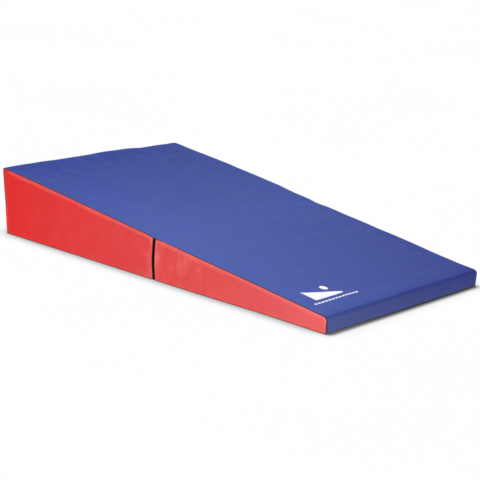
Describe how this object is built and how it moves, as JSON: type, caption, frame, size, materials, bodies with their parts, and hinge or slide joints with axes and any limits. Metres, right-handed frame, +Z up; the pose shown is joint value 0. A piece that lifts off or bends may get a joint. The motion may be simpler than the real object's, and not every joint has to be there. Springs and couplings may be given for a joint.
{
  "type": "incline wedge mat",
  "caption": "Folding foam incline mat: a vinyl-covered ramp in two halves that share one top sheet and fold top to top, with carry handles and zips for the foam.",
  "frame": {"origin": "on the floor under the fold line, midway across the mat", "axes": "+X down the slope from the tall end to the low end, +Y across the mat, +Z up"},
  "size_m": [1.8494, 1.2268, 0.305],
  "materials": {
    "blue_vinyl": "satin",
    "red_vinyl": "satin",
    "black_vinyl": "matte",
    "foam": "matte",
    "hook_tape": "matte",
    "loop_tape": "matte",
    "webbing": "matte",
    "zip_tape": "matte",
    "zip_coil": "satin",
    "zip_metal": "satin"
  },
  "bodies": {
    "tall_section": {"tall_top_panel": "blue_vinyl", "tall_near_side_panel": "red_vinyl", "tall_far_side_panel": "red_vinyl", "tall_end_panel": "red_vinyl", "tall_bottom_panel": "black_vinyl", "tall_fold_panel": "black_vinyl", "tall_foam_slab": "foam", "tall_foam_wedge": "foam", "hook_strip_near": "hook_tape", "hook_strip_far": "hook_tape", "near_handle_inner_tab": "webbing", "near_handle_outer_tab": "webbing", "far_handle_inner_tab": "webbing", "far_handle_outer_tab": "webbing", "tall_zip_upper_tape": "zip_tape", "tall_zip_lower_tape": "zip_tape", "tall_zip_coil": "zip_coil"},
    "low_section": {"low_top_panel": "blue_vinyl", "low_near_side_panel": "red_vinyl", "low_far_side_panel": "red_vinyl", "low_bottom_panel": "black_vinyl", "low_fold_panel": "black_vinyl", "low_foam_slab": "foam", "low_foam_wedge": "foam", "loop_strip_near": "loop_tape", "loop_strip_far": "loop_tape", "low_zip_upper_tape": "zip_tape", "low_zip_lower_tape": "zip_tape", "low_zip_coil": "zip_coil"},
    "near_handle": {"near_handle_grip": "webbing"},
    "far_handle": {"far_handle_grip": "webbing"},
    "tall_slider": {"tall_zip_slider": "zip_metal"},
    "tall_pull": {"tall_zip_pull": "zip_metal"},
    "low_slider": {"low_zip_slider": "zip_metal"},
    "low_pull": {"low_zip_pull": "zip_metal"}
  },
  "joints": [
    {"name": "fold", "type": "hinge", "parent": "tall_section", "child": "low_section", "pos_m": [0, 0, 0.1915], "axis": [0, -1, 0], "range_deg": [0, 180]},
    {"name": "tall_zip_slide", "type": "slide", "parent": "tall_section", "child": "tall_slider", "axis": [0, 1, 0], "range_m": [0, 1.01]},
    {"name": "tall_pull_swing", "type": "hinge", "parent": "tall_slider", "child": "tall_pull", "pos_m": [-0.9198, -0.51, 0.028], "axis": [0, 0, 1], "range_deg": [0, 180]},
    {"name": "low_zip_slide", "type": "slide", "parent": "low_section", "child": "low_slider", "axis": [1, 0, 0], "range_m": [0, 0.71]},
    {"name": "low_pull_swing", "type": "hinge", "parent": "low_slider", "child": "low_pull", "pos_m": [0.0975, 0.6148, 0.028], "axis": [0, 0, 1], "range_deg": [0, 180]},
    {"name": "near_handle_lift", "type": "hinge", "parent": "tall_section", "child": "near_handle", "pos_m": [-0.918, -0.3, 0.19], "axis": [0, 1, 0], "range_deg": [0, 120]},
    {"name": "far_handle_lift", "type": "hinge", "parent": "tall_section", "child": "far_handle", "pos_m": [-0.918, 0.3, 0.19], "axis": [0, 1, 0], "range_deg": [0, 120]}
  ]
}
